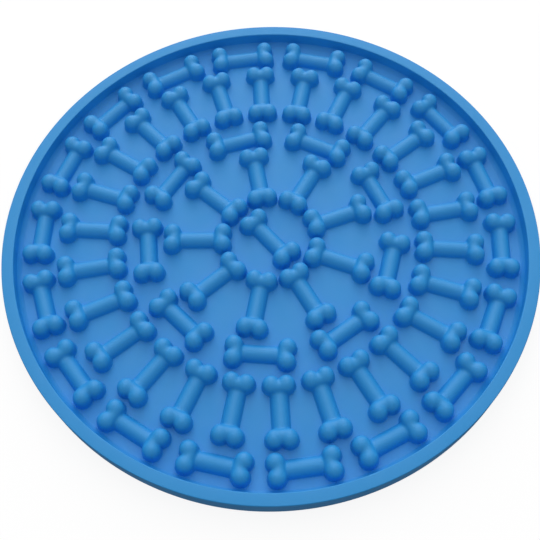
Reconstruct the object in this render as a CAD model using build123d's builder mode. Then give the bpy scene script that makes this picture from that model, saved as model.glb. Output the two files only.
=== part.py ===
from build123d import *
import os
from math import cos, hypot, radians, sin, sqrt

# A round silicone lick mat: a flat sheet with an upright rim, filled with rings of raised bones.
# The mat lies on the XY plane with its middle at the origin. Lengths are in millimetres, angles in degrees.

# Sheet and rim
mat_height = 9.6
sheet_thickness = 3.6
sheet_edge_round = 0.6
rim_width = 4.3
rim_edge_round = 0.5
rim_foot_round = 1.0

# One bone: a half-round shaft with two domed balls side by side at each end, a little lower than the rim.
# A smaller ball, lower and set back towards the shaft, bridges the notch between the two on that side.
ball_diameter = 6.8
ball_drop = 0.2
ball_draft = 4.0
ball_reach = 19.0
ball_spacing = 5.1
bridge_diameter = 5.0
bridge_drop = 0.4
bridge_setback = 1.25
shaft_width = 6.4
shaft_height = 3.5

# Clear widths: between neighbours in the inner ring of spokes, inside each further ring and inside the rim
inner_spoke_gap = 0.66
inner_hoop_clearance = 0.77
outer_spoke_clearance = 1.69
outer_hoop_clearance = 1.11
rim_clearance = 1.28

# Bones in each ring; the outer spokes are made in pairs
inner_spoke_count = 9
inner_hoop_count = 9
outer_spoke_pair_count = 13
outer_hoop_count = 18

# Angles turned from +X towards +Y: the centre bone's axis and the first bone of each ring
centre_bone_angle = -50.6
inner_spoke_angle = 18.0
inner_hoop_angle = 23.7
outer_spoke_angle = 8.0
outer_hoop_angle = 15.7

full_turn = 360.0
half_turn = 180.0
quarter_turn = 90.0

# Sizes of the balls above the sheet
ball_radius = ball_diameter / 2
ball_height = mat_height - sheet_thickness - ball_drop
bridge_height = ball_height - bridge_drop
ball_slope = radians(ball_draft)

# A bone's balls stand half these spacings outwards and sideways of it: a spoke points outwards from the
# middle of the mat, a hoop lies along its ring
spoke = (ball_reach / 2, ball_spacing / 2)
hoop = (ball_spacing / 2, ball_reach / 2)


def radius_beside(count, gap, lie):
    """Radius of a ring of bones whose inner balls keep a gap from those of their neighbours."""
    outward, sideways = lie
    half_step = radians(half_turn / count)
    return outward + (ball_radius + gap / 2 + sideways * cos(half_step)) / sin(half_step)


def radius_around(inside, clearance, lie):
    """Radius of a ring of bones whose inner balls keep a clearance from what reaches that far inside it."""
    outward, sideways = lie
    return outward + sqrt((inside + clearance + ball_radius) ** 2 - sideways**2)


def ring_reach(ring_radius, lie):
    """Distance from the middle of the mat to the outside of a ring of bones."""
    outward, sideways = lie
    return hypot(ring_radius + outward, sideways) + ball_radius


# Rings of bones from the middle outwards, and the rim around them
inner_spoke_radius = radius_beside(inner_spoke_count, inner_spoke_gap, spoke)
inner_hoop_radius = radius_around(ring_reach(inner_spoke_radius, spoke), inner_hoop_clearance, hoop)
outer_spoke_radius = radius_around(ring_reach(inner_hoop_radius, hoop), outer_spoke_clearance, spoke)
outer_hoop_radius = radius_around(ring_reach(outer_spoke_radius, spoke), outer_hoop_clearance, hoop)
foot_inner_radius = ring_reach(outer_hoop_radius, hoop) + rim_clearance
rim_inner_radius = foot_inner_radius + rim_foot_round
mat_radius = rim_inner_radius + rim_width
foot_top = sheet_thickness + rim_foot_round
print(f"mat diameter {2 * mat_radius:.2f} mm")

os.makedirs("parts", exist_ok=True)


def save(piece, name):
    """Label a finished piece and write it to its own file."""
    piece.label = name
    export_step(piece, f"parts/{name}.step")


# Base sheet: the flat floor, with its lower edge eased
with BuildPart() as base_sheet:
    with BuildSketch():
        Circle(mat_radius)
    extrude(amount=sheet_thickness)
    lower_edge = base_sheet.edges().sort_by(Axis.Z)[0]
    fillet(lower_edge, sheet_edge_round)
save(base_sheet.part, "base_sheet")

# Rim wall: a ring on the sheet's edge, flared at its inner foot, with eased top edges
with BuildPart() as rim_wall:
    with BuildSketch(Plane.XZ):
        with BuildLine():
            Polyline(
                (foot_inner_radius, sheet_thickness),
                (mat_radius, sheet_thickness),
                (mat_radius, mat_height),
                (rim_inner_radius, mat_height),
                (rim_inner_radius, foot_top),
            )
            CenterArc((foot_inner_radius, foot_top), rim_foot_round, -quarter_turn, quarter_turn)
        make_face()
    revolve(axis=Axis.Z)
    top_edges = rim_wall.edges().group_by(Axis.Z)[-1]
    fillet(top_edges, rim_edge_round)
save(rim_wall.part, "rim_wall")


def domed_ball(foot_radius, height):
    """A ball with a flat foot: a round dome that runs smoothly into a slightly tapered side."""
    dome_radius = (foot_radius * cos(ball_slope) - height * sin(ball_slope)) / (1 - sin(ball_slope))
    dome_middle = height - dome_radius
    dome_edge = (dome_radius * cos(ball_slope), dome_middle + dome_radius * sin(ball_slope))
    with BuildPart() as ball:
        with BuildSketch(Plane.XZ):
            with BuildLine():
                Polyline((0, height), (0, 0), (foot_radius, 0), dome_edge)
                CenterArc((0, dome_middle), dome_radius, ball_draft, quarter_turn - ball_draft)
            make_face()
        revolve(axis=Axis.Z)
    return ball.part


# Bone: half of the shaft along X with the balls at its end, then its mirror image, all flat underneath
end_ball = domed_ball(ball_radius, ball_height)
bridge_ball = domed_ball(bridge_diameter / 2, bridge_height)
with BuildPart() as bone:
    with BuildSketch(Plane.YZ):
        Ellipse(shaft_width / 2, shaft_height)
    extrude(amount=ball_reach / 2)
    split(bisect_by=Plane.XY, keep=Keep.TOP)
    with Locations((ball_reach / 2 - bridge_setback, 0)):
        add(bridge_ball)
    with Locations((ball_reach / 2, 0)):
        with GridLocations(0, ball_spacing, 1, 2):
            add(end_ball)
    mirror(about=Plane.YZ)

# Centre bone
with BuildPart(Plane.XY.offset(sheet_thickness)) as centre_bone:
    add(bone.part, rotation=(0, 0, centre_bone_angle))
save(centre_bone.part, "centre_bone")

# Rings of bones: name, radius, first angle, turn of a bone from the outward direction, nodes, bones in a node
rings = [
    ("inner_spoke_bone", inner_spoke_radius, inner_spoke_angle, 0, inner_spoke_count, 1),
    ("inner_hoop_bone", inner_hoop_radius, inner_hoop_angle, quarter_turn, inner_hoop_count, 1),
    ("outer_spoke_bones", outer_spoke_radius, outer_spoke_angle, 0, outer_spoke_pair_count, 2),
    ("outer_hoop_bone", outer_hoop_radius, outer_hoop_angle, quarter_turn, outer_hoop_count, 1),
]
for name, ring_radius, first_angle, turn, node_count, bones_in_node in rings:
    node_angle = full_turn / node_count
    for number in range(node_count):
        start_angle = first_angle + number * node_angle
        with BuildPart(Plane.XY.offset(sheet_thickness)) as ring_bone:
            with PolarLocations(ring_radius, bones_in_node, start_angle, node_angle):
                add(bone.part, rotation=(0, 0, turn))
        save(ring_bone.part, f"{name}_{number + 1:02d}")
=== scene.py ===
import math

import bmesh
import bpy
import numpy as np
from mathutils import Matrix, Vector


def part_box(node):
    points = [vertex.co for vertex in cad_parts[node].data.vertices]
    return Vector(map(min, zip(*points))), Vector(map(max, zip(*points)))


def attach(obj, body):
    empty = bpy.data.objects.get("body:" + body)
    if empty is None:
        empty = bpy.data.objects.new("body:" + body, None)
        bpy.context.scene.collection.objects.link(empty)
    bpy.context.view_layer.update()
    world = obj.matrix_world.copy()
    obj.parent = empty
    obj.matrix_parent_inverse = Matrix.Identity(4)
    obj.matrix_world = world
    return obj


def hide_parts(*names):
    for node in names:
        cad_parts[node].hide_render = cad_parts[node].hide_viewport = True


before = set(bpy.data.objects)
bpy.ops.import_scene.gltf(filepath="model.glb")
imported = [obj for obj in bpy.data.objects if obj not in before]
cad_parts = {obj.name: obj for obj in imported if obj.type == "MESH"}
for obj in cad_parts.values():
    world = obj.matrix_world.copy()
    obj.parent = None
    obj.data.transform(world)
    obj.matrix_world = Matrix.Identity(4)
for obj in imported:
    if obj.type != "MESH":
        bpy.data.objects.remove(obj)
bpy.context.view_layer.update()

# Sizes of the mat in millimetres; what the frame gives is read from it
MM = 0.001
mat_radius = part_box("base_sheet")[1].x / MM
mat_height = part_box("rim_wall")[1].z / MM
floor_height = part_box("base_sheet")[1].z / MM
ball_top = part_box("centre_bone")[1].z / MM
sheet_edge_round = 0.6

# Rim, with a sloped foot on its inner side whose two corners are eased
rim_width = 4.4
rim_edge_round = 0.35
rim_foot_height = 1.3
rim_foot_width = 1.8
foot_corner = 0.15

# One bone: a half-round shaft with two domed balls side by side at each end and a lower bridge between them
ball_radius = 3.35
ball_draft = math.radians(4)
ball_height = ball_top - floor_height
ball_reach = 19.25
ball_spacing = 5.25
bridge_radius = 2.5
bridge_drop = 0.5
bridge_setback = 0.85
shaft_width = 6.4
shaft_height = 3.5

# Rounding where the parts of a bone run into each other and into the floor, the width of the skirt that
# carries the rounding at its foot, and how far skirt and bone are let into the floor
crease_round = 0.8
bridge_round = 0.6
notch_round = 0.1
foot_round = 0.3
skirt_width = 0.8
skirt_sink = 0.03
foot_depth = 0.8

# Rings of bones from the middle outwards: piece, start of its nodes' names, bones, radius in millimetres,
# first angle from +X, and turn of a bone from the outward direction, both in degrees
rings = [
    ("middle_bone", "centre_bone", 1, 0, -50.6, 0),
    ("inner_spoke_bones", "inner_spoke_bone_", 9, 27.415, 18.0, 0),
    ("inner_hoop_bones", "inner_hoop_bone_", 9, 46.1, 23.7, 90),
    ("outer_spoke_bones", "outer_spoke_bones_", 26, 67.5, 8.0, 0),
    ("outer_hoop_bones", "outer_hoop_bone_", 18, 86.97, 15.7, 90),
]

# Fineness of the meshes: steps round the mat, points across its sheet, steps in a rounded edge, and on a bone
# the spacing of its skin's points in millimetres and the rounds of evening them out
turn_steps = 288
sheet_points = 12
round_steps = 8
skin_spacing = 0.48
evening_rounds = 7


def linear(hex_colour):
    """Linear colour from an sRGB hex value."""
    parts = [int(hex_colour[i : i + 2], 16) / 255 for i in (1, 3, 5)]
    return [c / 12.92 if c <= 0.04045 else ((c + 0.055) / 1.055) ** 2.4 for c in parts] + [1.0]


def add_node(tree, kind, links=None, **settings):
    """Add a node, set its properties and socket values by name, and link its inputs."""
    node = tree.nodes.new(kind)
    for name, value in settings.items():
        if hasattr(node, name):
            setattr(node, name, value)
        else:
            node.inputs[name.replace("_", " ")].default_value = value
    for name, source in (links or {}).items():
        tree.links.new(source, node.inputs[name])
    return node


# Silicone rubber, moulded in a mould with a finely blasted face: a soft satin skin with a slight haze that
# turns lit faces paler, over pigment that is not quite even and stays deep blue in the shade
def moulded_silicone():
    material = bpy.data.materials.new("moulded_silicone")
    material.use_nodes = True
    tree = material.node_tree
    shader = tree.nodes["Principled BSDF"]
    place = {"Vector": add_node(tree, "ShaderNodeTexCoord").outputs["Object"]}
    # pigment drifts over about 30 mm
    drift_scale = 1 / (30 * MM)
    drift = add_node(tree, "ShaderNodeTexNoise", place, Scale=drift_scale, Detail=2.0, Roughness=0.5)
    colour = add_node(tree, "ShaderNodeMix", {"Factor": drift.outputs["Fac"]}, data_type="RGBA")
    colour.inputs["A"].default_value = linear("#0A96E2")
    colour.inputs["B"].default_value = linear("#129AE6")
    tree.links.new(colour.outputs["Result"], shader.inputs["Base Color"])
    # handling marks in the satin over about 8 mm
    marks_scale = 1 / (8 * MM)
    marks = add_node(tree, "ShaderNodeTexNoise", place, Scale=marks_scale, Detail=3.0)
    worn = {"Value": marks.outputs["Fac"]}
    satin = add_node(tree, "ShaderNodeMapRange", worn, To_Min=0.52, To_Max=0.66)
    tree.links.new(satin.outputs["Result"], shader.inputs["Roughness"])
    # blasted grain is about 0.1 mm, drawn at 0.6 mm so that it shows
    grain_scale = 1 / (0.6 * MM)
    grain_depth = 0.05 * MM
    grain = add_node(tree, "ShaderNodeTexNoise", place, Scale=grain_scale, Detail=2.0)
    pitted = {"Height": grain.outputs["Fac"]}
    bump = add_node(tree, "ShaderNodeBump", pitted, Strength=0.25, Distance=grain_depth)
    tree.links.new(bump.outputs["Normal"], shader.inputs["Normal"])
    shader.inputs["IOR"].default_value = 1.43
    shader.inputs["Specular IOR Level"].default_value = 1.0
    return material


silicone = moulded_silicone()


def arc(middle, radius, start, end):
    """Points of an arc in the profile plane, angles in degrees."""
    angles = np.radians(np.linspace(start, end, round_steps + 1))
    return [(middle[0] + radius * math.cos(a), middle[1] + radius * math.sin(a)) for a in angles]


def make_mat_body():
    """Sheet and rim as the one moulding that they are: a profile turned about the middle."""
    inner = mat_radius - rim_width
    foot = inner - rim_foot_width
    foot_top = floor_height + rim_foot_height
    run = foot_corner / math.hypot(rim_foot_width, rim_foot_height)
    ease = (rim_foot_width * run, rim_foot_height * run)
    sheet_round = mat_radius - sheet_edge_round
    top_round = mat_height - rim_edge_round
    profile = [(r, 0) for r in np.linspace(0, sheet_round, sheet_points)[:-1]]
    profile += arc((sheet_round, sheet_edge_round), sheet_edge_round, -90, 0)
    profile += arc((mat_radius - rim_edge_round, top_round), rim_edge_round, 0, 90)
    profile += arc((inner + rim_edge_round, top_round), rim_edge_round, 90, 180)
    profile += [(inner, foot_top + foot_corner), (inner - ease[0], foot_top - ease[1])]
    profile += [(foot + ease[0], floor_height + ease[1]), (foot - foot_corner, floor_height)]
    profile += [(r, floor_height) for r in np.linspace(foot, 0, sheet_points)[1:]]
    body = bmesh.new()
    points = [body.verts.new((r * MM, 0, z * MM)) for r, z in profile]
    edges = [body.edges.new(pair) for pair in zip(points, points[1:])]
    middle, upright = (0, 0, 0), (0, 0, 1)
    bmesh.ops.spin(body, geom=points + edges, cent=middle, axis=upright, angle=math.tau, steps=turn_steps)
    bmesh.ops.remove_doubles(body, verts=body.verts, dist=0.01 * MM)
    bmesh.ops.recalc_face_normals(body, faces=body.faces)
    mesh = bpy.data.meshes.new("mat_body")
    body.to_mesh(mesh)
    body.free()
    mesh.shade_smooth()
    mesh.materials.append(silicone)
    piece = bpy.data.objects.new("mat_body", mesh)
    bpy.context.collection.objects.link(piece)
    return piece


def run_together(a, b, size):
    """Smallest of two distances, with a fillet of that size where they meet."""
    share = np.maximum(size - np.abs(a - b), 0) / size
    return np.minimum(a, b) - share * share * size / 4


def ball_distance(across, z, radius, height):
    """Distance from a ball's skin: a dome that runs into a slightly tapered side."""
    sine, cosine = math.sin(ball_draft), math.cos(ball_draft)
    dome_radius = (radius * cosine - height * sine) / (1 - sine)
    up = z - (height - dome_radius)
    dome = np.hypot(across, up) - dome_radius
    side = across * cosine + up * sine - dome_radius
    return np.where(up * cosine > across * sine, dome, side)


def bone_distance(points):
    """Distance from a bone's skin: a half-round shaft, and at each end two balls with a notch between them
    that a bar-shaped bridge closes on the side of the shaft. The foot is at height zero."""
    x, y, z = np.moveaxis(points, -1, 0)
    along = np.abs(x) - ball_reach / 2
    apart = ball_spacing / 2
    pair = [ball_distance(np.hypot(along, y + side), z, ball_radius, ball_height) for side in (-apart, apart)]
    from_bar = np.hypot(along + bridge_setback, np.maximum(np.abs(y) - apart, 0))
    bridge = ball_distance(from_bar, z, bridge_radius, ball_height - bridge_drop)
    end = run_together(run_together(*pair, notch_round), bridge, bridge_round)
    half_width = shaft_width / 2
    shaft = (np.hypot(y / half_width, z / shaft_height) - 1) * half_width
    bone = run_together(end, np.maximum(shaft, along), crease_round)
    footed = np.maximum(run_together(bone, z + skirt_sink, foot_round), bone - skirt_width)
    return np.maximum(footed, -z - foot_depth)


def draw_to_skin(points, reach=0.02, pulls=3, least_slope=0.25):
    """Move points along the distance's gradient onto a bone's skin."""
    for _ in range(pulls):
        sides = [(bone_distance(points + s), bone_distance(points - s)) for s in np.eye(3) * reach]
        gradient = np.stack([(ahead - behind) / (2 * reach) for ahead, behind in sides], -1)
        steepness = np.maximum((gradient * gradient).sum(-1, keepdims=True), least_slope)
        points = points - bone_distance(points)[:, None] * gradient / steepness
    return points


def make_bone():
    """One bone as an even skin of quads drawn onto its surface."""
    margin = 2 * skin_spacing
    half_length = ball_reach / 2 + ball_radius + skirt_width + margin
    half_width = ball_spacing / 2 + ball_radius + skirt_width + margin
    starts = (-half_length, -half_width, -foot_depth - margin)
    stops = (half_length, half_width, ball_height + margin)
    lines = [np.arange(start, stop, skin_spacing) for start, stop in zip(starts, stops)]
    grid = np.stack(np.meshgrid(*lines, indexing="ij"), -1)
    inside = bone_distance(grid) < 0
    # one point in each cell that the skin passes through
    ends = (slice(None, -1), slice(1, None))
    corners = sum(inside[i, j, k].astype(int) for i in ends for j in ends for k in ends)
    crossed = (corners > 0) & (corners < 8)
    number = np.full(crossed.shape, -1)
    number[crossed] = np.arange(crossed.sum())
    points = grid[:-1, :-1, :-1][crossed] + skin_spacing / 2
    # one quad round each grid line that the skin crosses
    quads = []
    for axis in range(3):
        a, b = [other for other in range(3) if other != axis]
        changes = np.argwhere(inside != np.roll(inside, -1, axis))
        for cell in changes[changes[:, axis] < inside.shape[axis] - 1]:
            ring = []
            for da, db in ((-1, -1), (0, -1), (0, 0), (-1, 0)):
                near = cell.copy()
                near[a] += da
                near[b] += db
                ring.append(number[tuple(near)])
            outward = inside[tuple(cell)] == (axis != 1)
            quads.append(ring if outward else ring[::-1])
    quads = np.array(quads)
    # draw the points onto the skin and even out their spacing
    edges = np.concatenate([quads[:, [i, (i + 1) % 4]] for i in range(4)])
    neighbours = np.bincount(edges[:, 0], minlength=len(points))[:, None]
    for _ in range(evening_rounds):
        points = draw_to_skin(points)
        total = np.zeros_like(points)
        np.add.at(total, edges[:, 0], points[edges[:, 1]])
        points = points * 0.5 + total / neighbours * 0.5
    points = draw_to_skin(points)
    mesh = bpy.data.meshes.new("bone")
    mesh.from_pydata((points * MM).tolist(), [], quads.tolist())
    mesh.validate()
    # the underside, let into the floor, is one flat face
    skin = bmesh.new()
    skin.from_mesh(mesh)
    lowest = (0.05 - foot_depth) * MM
    underside = [face for face in skin.faces if all(corner.co.z < lowest for corner in face.verts)]
    bmesh.ops.dissolve_faces(skin, faces=underside, use_verts=True)
    skin.to_mesh(mesh)
    skin.free()
    mesh.shade_smooth()
    bone = bpy.data.objects.new("bone", mesh)
    bpy.context.collection.objects.link(bone)
    return bone


def bone_ring_tree():
    """Node tree that sets copies of a bone out in a ring on the floor of the mat."""
    tree = bpy.data.node_groups.new("bone_ring", "GeometryNodeTree")
    tree.interface.new_socket("Geometry", in_out="OUTPUT", socket_type="NodeSocketGeometry")
    kinds = {
        "Bone": "Object",
        "Count": "Int",
        "Radius": "Float",
        "First Angle": "Float",
        "Turn": "Float",
        "Height": "Float",
        "Material": "Material",
    }
    for name, kind in kinds.items():
        tree.interface.new_socket(name, in_out="INPUT", socket_type="NodeSocket" + kind)
    given = add_node(tree, "NodeGroupInput").outputs
    index = add_node(tree, "GeometryNodeInputIndex").outputs["Index"]
    # the angle of each bone round the ring
    step = add_node(tree, "ShaderNodeMath", {1: given["Count"]}, operation="DIVIDE")
    step.inputs[0].default_value = math.tau
    steps_on = {0: index, 1: step.outputs[0], 2: given["First Angle"]}
    angle = add_node(tree, "ShaderNodeMath", steps_on, operation="MULTIPLY_ADD").outputs[0]
    # its place
    cosine = add_node(tree, "ShaderNodeMath", {0: angle}, operation="COSINE").outputs[0]
    sine = add_node(tree, "ShaderNodeMath", {0: angle}, operation="SINE").outputs[0]
    across = add_node(tree, "ShaderNodeMath", {0: cosine, 1: given["Radius"]}, operation="MULTIPLY")
    away = add_node(tree, "ShaderNodeMath", {0: sine, 1: given["Radius"]}, operation="MULTIPLY")
    ways = {"X": across.outputs[0], "Y": away.outputs[0], "Z": given["Height"]}
    place = add_node(tree, "ShaderNodeCombineXYZ", ways).outputs[0]
    spots = add_node(tree, "GeometryNodePoints", {"Count": given["Count"], "Position": place})
    # the way it lies
    turned = add_node(tree, "ShaderNodeMath", {0: angle, 1: given["Turn"]}, operation="ADD")
    facing = add_node(tree, "ShaderNodeCombineXYZ", {"Z": turned.outputs[0]}).outputs[0]
    shape = add_node(tree, "GeometryNodeObjectInfo", {"Object": given["Bone"]}).outputs["Geometry"]
    set_out = {"Points": spots.outputs[0], "Instance": shape, "Rotation": facing}
    copies = add_node(tree, "GeometryNodeInstanceOnPoints", set_out)
    real = add_node(tree, "GeometryNodeRealizeInstances", {"Geometry": copies.outputs[0]})
    skin = {"Geometry": real.outputs[0], "Material": given["Material"]}
    finished = add_node(tree, "GeometryNodeSetMaterial", skin)
    add_node(tree, "NodeGroupOutput", {"Geometry": finished.outputs[0]})
    return tree


def make_ring(tree, bone, name, count, radius, first_angle, turn):
    """A ring of bones as one plain mesh. Angles in degrees from +X."""
    holder = bpy.data.objects.new(name, bpy.data.meshes.new(name))
    bpy.context.collection.objects.link(holder)
    setting = holder.modifiers.new("ring", "NODES")
    setting.node_group = tree
    values = {
        "Bone": bone,
        "Count": count,
        "Radius": radius * MM,
        "First Angle": math.radians(first_angle),
        "Turn": math.radians(turn),
        "Height": floor_height * MM,
        "Material": silicone,
    }
    for socket in tree.interface.items_tree:
        if socket.in_out == "INPUT":
            setting[socket.identifier] = values[socket.name]
    shown = holder.evaluated_get(bpy.context.evaluated_depsgraph_get())
    mesh = bpy.data.meshes.new_from_object(shown)
    holder.modifiers.remove(setting)
    holder.data = mesh
    mesh.name = name
    return holder


# The moulding: sheet and rim, then the rings of bones from the middle outwards
mat_body = make_mat_body()
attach(mat_body, "root")
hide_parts("base_sheet", "rim_wall")

bone = make_bone()
ring_tree = bone_ring_tree()
for ring_name, node_start, count, radius, first_angle, turn in rings:
    ring = make_ring(ring_tree, bone, ring_name, count, radius, first_angle, turn)
    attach(ring, "root")
    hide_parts(*[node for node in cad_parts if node.startswith(node_start)])
bpy.data.objects.remove(bone)


# Stage: a pale floor that takes the mat's shadow, soft light from above and behind, and the camera
def pale_floor():
    material = bpy.data.materials.new("pale_floor")
    material.use_nodes = True
    tree = material.node_tree
    shader = tree.nodes["Principled BSDF"]
    shader.inputs["Base Color"].default_value = linear("#707070")
    shader.inputs["Roughness"].default_value = 0.9
    shader.inputs["Specular IOR Level"].default_value = 0.0
    # white to the camera, and a little of it in the mat's gloss
    ray = add_node(tree, "ShaderNodeLightPath").outputs
    mirrored = add_node(tree, "ShaderNodeMath", {0: ray["Is Glossy Ray"]}, operation="MULTIPLY")
    mirrored.inputs[1].default_value = 0.2
    both = {0: ray["Is Camera Ray"], 2: mirrored.outputs[0]}
    white = add_node(tree, "ShaderNodeMath", both, operation="MULTIPLY_ADD")
    white.inputs[1].default_value = 0.88
    shader.inputs["Emission Color"].default_value = linear("#FFFFFF")
    tree.links.new(white.outputs[0], shader.inputs["Emission Strength"])
    return material


floor_width = 6
bpy.ops.mesh.primitive_plane_add(size=floor_width)
floor = bpy.context.object
floor.name = "floor"
floor.data.materials.append(pale_floor())

# Surroundings: white to the camera, dimmer as light on the mat
world = bpy.data.worlds.new("studio")
bpy.context.scene.world = world
world.use_nodes = True
studio = world.node_tree
sky = studio.nodes["Background"]
sky.inputs["Color"].default_value = linear("#FFFFFF")
ray = add_node(studio, "ShaderNodeLightPath").outputs
seen = {"Value": ray["Is Camera Ray"]}
level = add_node(studio, "ShaderNodeMapRange", seen, To_Min=0.36, To_Max=1.0)
studio.links.new(level.outputs["Result"], sky.inputs["Strength"])


def soft_box(name, place, size, power):
    """A square lamp that faces the middle of the mat. Lengths in metres, power in watts."""
    lamp = bpy.data.lights.new(name, "AREA")
    lamp.size = size
    lamp.energy = power
    holder = bpy.data.objects.new(name, lamp)
    holder.location = place
    holder.rotation_euler = (-Vector(place)).to_track_quat("-Z", "Y").to_euler()
    bpy.context.collection.objects.link(holder)


soft_box("overhead_light", place=(0.0, 0.6, 1.45), size=1.6, power=10.0)
soft_box("back_light", place=(0.0, 1.5, 0.6), size=1.2, power=10.4)

# Camera: looks down at the near part of the mat, with a slight tilt; its focal length is in picture widths
elevation = math.radians(64.11)
tilt = math.radians(-2.15)
aim = Vector((-0.44, -15.3, mat_height)) * MM
distance = 305.9 * MM
picture_width = 540
focal_length = 835.75 / picture_width
sensor_width = 36
back = Vector((0, -math.cos(elevation), math.sin(elevation)))
level_right = Vector((1, 0, 0))
level_up = back.cross(level_right)
right = math.cos(tilt) * level_right + math.sin(tilt) * level_up
up = math.cos(tilt) * level_up - math.sin(tilt) * level_right
camera_data = bpy.data.cameras.new("camera")
camera_data.sensor_width = sensor_width
camera_data.lens = focal_length * sensor_width
camera_data.clip_start = 0.01
camera = bpy.data.objects.new("camera", camera_data)
facing = Matrix((right, up, back)).transposed().to_4x4()
camera.matrix_world = Matrix.Translation(aim + back * distance) @ facing
bpy.context.collection.objects.link(camera)
bpy.context.scene.camera = camera
bpy.context.scene.view_settings.view_transform = "Standard"
